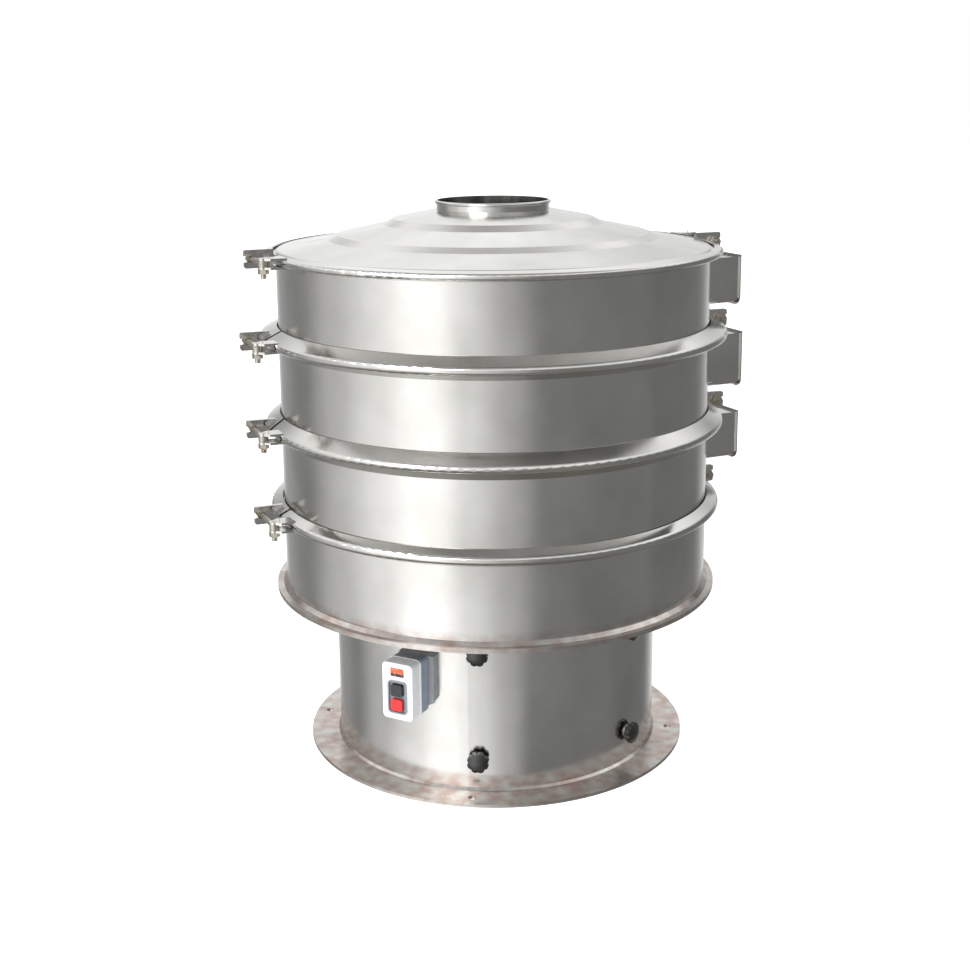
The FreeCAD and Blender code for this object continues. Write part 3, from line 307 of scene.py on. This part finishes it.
def plastic_material(name, hex_code, roughness, grain_mm=0.8, grain_depth=0.02, dirt=0.25, coat=0.0):
    """Moulded or painted skin with a fine grain, and dust that gathers in patches 18 mm wide."""
    colours = bpy.context.scene.sieve_colours
    material, tree, principled = new_material(
        name, Coat_Weight=coat, Coat_Roughness=0.12, Specular_IOR_Level=0.5)
    dust = add_node(tree, "ShaderNodeValToRGB", {"Fac": specks(tree, 18, 5)}, stops=fade(0.42, 0.72))
    film = add_node(tree, "ShaderNodeMath", {0: dust, 1: dirt}, operation="MULTIPLY")
    colour = add_node(
        tree, "ShaderNodeMix", {0: film, 6: linear(hex_code), 7: linear(colours.olive)}, **COLOUR_MIX)
    tree.links.new(colour, principled.inputs["Base Color"])
    dullness = add_node(
        tree, "ShaderNodeMapRange",
        {"Value": dust, "To Min": roughness, "To Max": min(roughness + 0.15, 1.0)},
    )
    tree.links.new(dullness, principled.inputs["Roughness"])
    set_relief(tree, principled, specks(tree, grain_mm, 2), grain_depth)
    return material


def label_material():
    """Bare label film: orange above, with a dark strip along its lower third."""
    colours = bpy.context.scene.sieve_colours
    material, tree, principled = new_material("printed_label_film", Roughness=0.35)
    low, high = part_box("switch_label")
    place = add_node(tree, "ShaderNodeTexCoord", out="Object")
    level = add_node(tree, "ShaderNodeSeparateXYZ", {0: place}, out="Z")
    share = add_node(tree, "ShaderNodeMapRange", {"Value": level, "From Min": low[2], "From Max": high[2]})
    colour = add_node(
        tree, "ShaderNodeValToRGB", {"Fac": share},
        stops=[(0.0, linear(colours.label_dark)), (0.36, linear(colours.label))], blend="CONSTANT",
    )
    worn = add_node(tree, "ShaderNodeValToRGB", {"Fac": specks(tree, 4, 4)}, stops=fade(0.5, 0.7))
    faded = add_node(tree, "ShaderNodeMath", {0: worn, 1: 0.3}, operation="MULTIPLY")
    colour = add_node(tree, "ShaderNodeMix", {0: faded, 6: colour, 7: linear(colours.cover)}, **COLOUR_MIX)
    tree.links.new(colour, principled.inputs["Base Color"])
    return material


def cloth_material():
    """Woven wire cloth: two crossed sets of wires, the larger of |sin| along X and along Y, with painted
    shade in the gaps.
    """
    sizes = bpy.context.scene.sieve_sizes
    colours = bpy.context.scene.sieve_colours
    material, tree, principled = new_material("woven_wire_cloth", Metallic=1.0, Roughness=0.35)
    place = add_node(tree, "ShaderNodeTexCoord", out="Object")
    parts = add_node(tree, "ShaderNodeSeparateXYZ", {0: place}, out=None)
    wires = []
    for axis in ("X", "Y"):
        phase = add_node(
            tree, "ShaderNodeMath", {0: parts.outputs[axis], 1: math.pi / (sizes.wire_pitch * MM)},
            operation="MULTIPLY",
        )
        swing = add_node(tree, "ShaderNodeMath", {0: phase}, operation="SINE")
        wires.append(add_node(tree, "ShaderNodeMath", {0: swing}, operation="ABSOLUTE"))
    weave = add_node(tree, "ShaderNodeMath", {0: wires[0], 1: wires[1]}, operation="MAXIMUM")
    # painted shade: the gaps between the wires are near black, standing in for the shade seen through the
    # openings
    colour = add_node(
        tree, "ShaderNodeValToRGB", {"Fac": weave}, stops=[(0.55, grey(0.03)), (0.8, linear(colours.steel))])
    tree.links.new(colour, principled.inputs["Base Color"])
    set_relief(tree, principled, weave, 0.3)
    return material


def make_materials():
    """One material for each slot of the record."""
    sizes = bpy.context.scene.sieve_sizes
    colours = bpy.context.scene.sieve_colours
    shell_welds = [(sizes.shell_weld, 22.0), (sizes.shell_foot, 10.0)]
    plate_welds = [(sizes.plate_weld, 14.0), (sizes.flange_weld, 9.0)]
    return {
        # cold-rolled stainless: smooth, with soft tall reflections that waver on its waves
        "stainless_sheet": steel_material("rolled_stainless_sheet", 0.17, 0.5, shell_welds),
        # stainless pressed over a former: a little brighter and flatter than the sheet
        "stainless_ring": steel_material("pressed_stainless_ring", 0.15, 0.4, (), 0.002, 0.15),
        # stainless plate as welded: duller, with pinkish clouds of heat tint
        "heat_tinted_plate": steel_material("welded_stainless_plate", 0.34, 0.8, plate_welds, 0.003, 0.3),
        # zinc-plated bolts: greyish and uneven, with brown rust spots
        "zinc_steel": zinc_material(),
        # oiled spring wire: dark smudges over a half-dull metal
        "spring_steel": steel_material("oiled_spring_steel", 0.4, 1.0),
        # woven wire cloth: a fine check of bright wires over near-black painted shade in the gaps
        "screen_mesh": cloth_material(),
        # silicone seals: a pale dull skin
        "seal_rubber": plastic_material("silicone_rubber", colours.silicone, 0.6),
        # rubber gaskets: nearly black, with little gloss
        "black_rubber": plastic_material("black_rubber", colours.rubber, 0.7, dirt=0.15),
        # painted steel: a satin film with a coarse orange-peel skin
        "grey_paint": plastic_material("grey_paint", colours.paint, 0.4, 3.0, 0.03),
        # moulded plastic: blue-grey, satin, dusty
        "blue_grey_plastic": plastic_material("blue_grey_moulding", colours.housing, 0.45),
        # moulded plastic: a clean white front with a soft gloss
        "white_plastic": plastic_material("white_moulding", colours.cover, 0.32, dirt=0.12, coat=0.3),
        # moulded plastic: a plain grey frame
        "grey_plastic": plastic_material("grey_moulding", colours.bezel, 0.42),
        # printed film: flat colour, worn paler in places
        "orange_label": label_material(),
        # moulded button: glossy black
        "black_plastic": plastic_material("black_button_plastic", colours.black, 0.3, dirt=0.08, coat=0.4),
        # moulded button: glossy red
        "red_plastic": plastic_material("red_button_plastic", colours.red, 0.28, dirt=0.05, coat=0.4),
        # moulded phenolic: deep black with a clear bright highlight
        "black_knob": plastic_material("phenolic_knob", colours.knob, 0.24, 1.5, 0.01, 0.06, 0.6),
        # enamel on a casting: a glossy blue coat over a coarse skin
        "motor_paint": plastic_material("motor_enamel", colours.motor, 0.35, 4.0, 0.05, coat=0.5),
        # turned steel: half-dull and smudged
        "motor_steel": steel_material("turned_steel", 0.35, 0.8),
    }


# ------------------------------------------------------------------ stage

def make_floor():
    """Plain pale floor that polished steel does not mirror."""
    corners = [(-FLOOR_HALF, -FLOOR_HALF, 0), (FLOOR_HALF, -FLOOR_HALF, 0),
               (FLOOR_HALF, FLOOR_HALF, 0), (-FLOOR_HALF, FLOOR_HALF, 0)]
    mesh = bpy.data.meshes.new("floor")
    mesh.from_pydata(corners, [], [(0, 1, 2, 3)])
    floor = bpy.data.objects.new("floor", mesh)
    bpy.context.scene.collection.objects.link(floor)
    material = bpy.data.materials.new("pale_floor")
    material.use_nodes = True
    tree = material.node_tree
    tree.nodes.clear()
    diffuse = add_node(tree, "ShaderNodeBsdfDiffuse", {"Color": grey(0.95)})
    glow = add_node(tree, "ShaderNodeEmission", {"Color": grey(1.0), "Strength": 0.55})
    lit = add_node(tree, "ShaderNodeAddShader", {0: diffuse, 1: glow})
    mirrored = add_node(tree, "ShaderNodeLightPath", out="Is Glossy Ray")
    clear = add_node(tree, "ShaderNodeBsdfTransparent")
    pale = add_node(tree, "ShaderNodeMixShader", {0: mirrored, 1: lit, 2: clear})
    add_node(tree, "ShaderNodeOutputMaterial", {"Surface": pale}, out=None)
    mesh.materials.append(material)


def make_world():
    """Soft studio: one broad bright wall to the front left, dim walls elsewhere, a light ceiling."""
    world = bpy.data.worlds.new("studio")
    bpy.context.scene.world = world
    world.use_nodes = True
    tree = world.node_tree
    tree.nodes.clear()
    direction = add_node(tree, "ShaderNodeTexCoord", out="Generated")
    parts = add_node(tree, "ShaderNodeSeparateXYZ", {0: direction}, out=None)
    angle = add_node(
        tree, "ShaderNodeMath", {0: parts.outputs["Y"], 1: parts.outputs["X"]}, operation="ARCTAN2")
    turns = add_node(tree, "ShaderNodeMath", {0: angle, 1: 2 * math.pi}, operation="DIVIDE")
    turn = add_node(tree, "ShaderNodeMath", {0: turns}, operation="FRACT")
    walls = add_node(
        tree, "ShaderNodeValToRGB", {"Fac": turn},
        stops=[(place, grey(level)) for place, level in WALLS], blend="EASE",
    )
    ceiling = add_node(
        tree, "ShaderNodeValToRGB", {"Fac": parts.outputs["Z"]},
        stops=[(place, grey(level)) for place, level in CEILING],
    )
    overhead = add_node(
        tree, "ShaderNodeMapRange", {"Value": parts.outputs["Z"], "From Min": 0.3, "From Max": 0.6})
    light = add_node(tree, "ShaderNodeMix", {0: overhead, 6: walls, 7: ceiling}, **COLOUR_MIX)
    underfoot = add_node(
        tree, "ShaderNodeMapRange", {"Value": parts.outputs["Z"], "From Min": -0.5, "From Max": -0.9})
    light = add_node(tree, "ShaderNodeMix", {0: underfoot, 6: light, 7: BELOW_LIGHT}, **COLOUR_MIX)
    studio = add_node(tree, "ShaderNodeBackground", {"Color": light, "Strength": 1.0})
    paper = add_node(tree, "ShaderNodeBackground", {"Color": grey(1.0), "Strength": 1.0})
    viewed = add_node(tree, "ShaderNodeLightPath", out="Is Camera Ray")
    seen = add_node(tree, "ShaderNodeMixShader", {0: viewed, 1: studio, 2: paper})
    add_node(tree, "ShaderNodeOutputWorld", {"Surface": seen}, out=None)


def make_lamp():
    """One large soft lamp above the front left."""
    stage = bpy.context.scene.sieve_stage
    lamp = bpy.data.lights.new("soft_lamp", "AREA")
    lamp.shape = "RECTANGLE"
    lamp.size = stage.lamp_width
    lamp.size_y = stage.lamp_depth
    lamp.energy = stage.lamp_power
    holder = bpy.data.objects.new("soft_lamp", lamp)
    holder.location = stage.lamp_place
    aim = Vector(stage.lamp_aim) - Vector(stage.lamp_place)
    holder.rotation_euler = aim.to_track_quat("-Z", "Y").to_euler()
    bpy.context.scene.collection.objects.link(holder)


def make_camera():
    """Camera at the front, a little above the lid, tilted down."""
    stage = bpy.context.scene.sieve_stage
    data = bpy.data.cameras.new("camera")
    data.sensor_width = 36.0
    data.lens = stage.lens
    data.shift_y = stage.lens_shift
    data.clip_end = 100.0
    camera = bpy.data.objects.new("camera", data)
    tilt = Matrix.Rotation(math.radians(90) - stage.camera_tilt, 4, "X")
    roll = Matrix.Rotation(stage.camera_roll, 4, "Z")
    camera.matrix_world = Matrix.Translation(stage.camera_place) @ tilt @ roll
    bpy.context.scene.collection.objects.link(camera)
    bpy.context.scene.camera = camera
    bpy.context.scene.view_settings.view_transform = "Standard"


# ------------------------------------------------------------------ operators

class SIEVE_OT_finishes(bpy.types.Operator):
    """Give every CAD node the material of its slot"""
    bl_idname = "sieve.finishes"
    bl_label = "Finishes"

    def execute(self, context):
        materials = make_materials()
        crisp_angle = context.scene.sieve_sizes.crisp_angle
        for part in frame["record"]["subparts"]:
            mesh = NODES[part["node"]].data
            mesh.materials.clear()
            mesh.materials.append(materials[part["material_slot"]])
            mesh.shade_smooth()
            mesh.set_sharp_from_angle(angle=crisp_angle)
        return {"FINISHED"}


class SIEVE_OT_stage(bpy.types.Operator):
    """Floor, light and camera"""
    bl_idname = "sieve.stage"
    bl_label = "Stage"

    def execute(self, context):
        make_floor()
        make_world()
        make_lamp()
        make_camera()
        return {"FINISHED"}


class SIEVE_PT_panel(bpy.types.Panel):
    """Buttons that build the sieve's looks"""
    bl_label = "Vibrating sieve"
    bl_space_type = "VIEW_3D"
    bl_region_type = "UI"
    bl_category = "Sieve"

    def draw(self, context):
        for operator in OPERATORS:
            self.layout.operator(operator.bl_idname)


OPERATORS = (SIEVE_OT_finishes, SIEVE_OT_stage)
GROUPS = {"sieve_sizes": SieveSizes, "sieve_colours": SieveColours, "sieve_stage": SieveStage}


def register():
    """Register the settings, the operators and the panel."""
    for item in (*GROUPS.values(), *OPERATORS, SIEVE_PT_panel):
        bpy.utils.register_class(item)
    for name, group in GROUPS.items():
        setattr(bpy.types.Scene, name, bpy.props.PointerProperty(type=group))


def unregister():
    """Undo register."""
    for name in GROUPS:
        delattr(bpy.types.Scene, name)
    for item in reversed((*GROUPS.values(), *OPERATORS, SIEVE_PT_panel)):
        bpy.utils.unregister_class(item)


def main():
    """Build everything: the settings, the finishes and the stage."""
    register()
    bpy.ops.sieve.finishes()
    bpy.ops.sieve.stage()


if __name__ == "__main__":
    main()
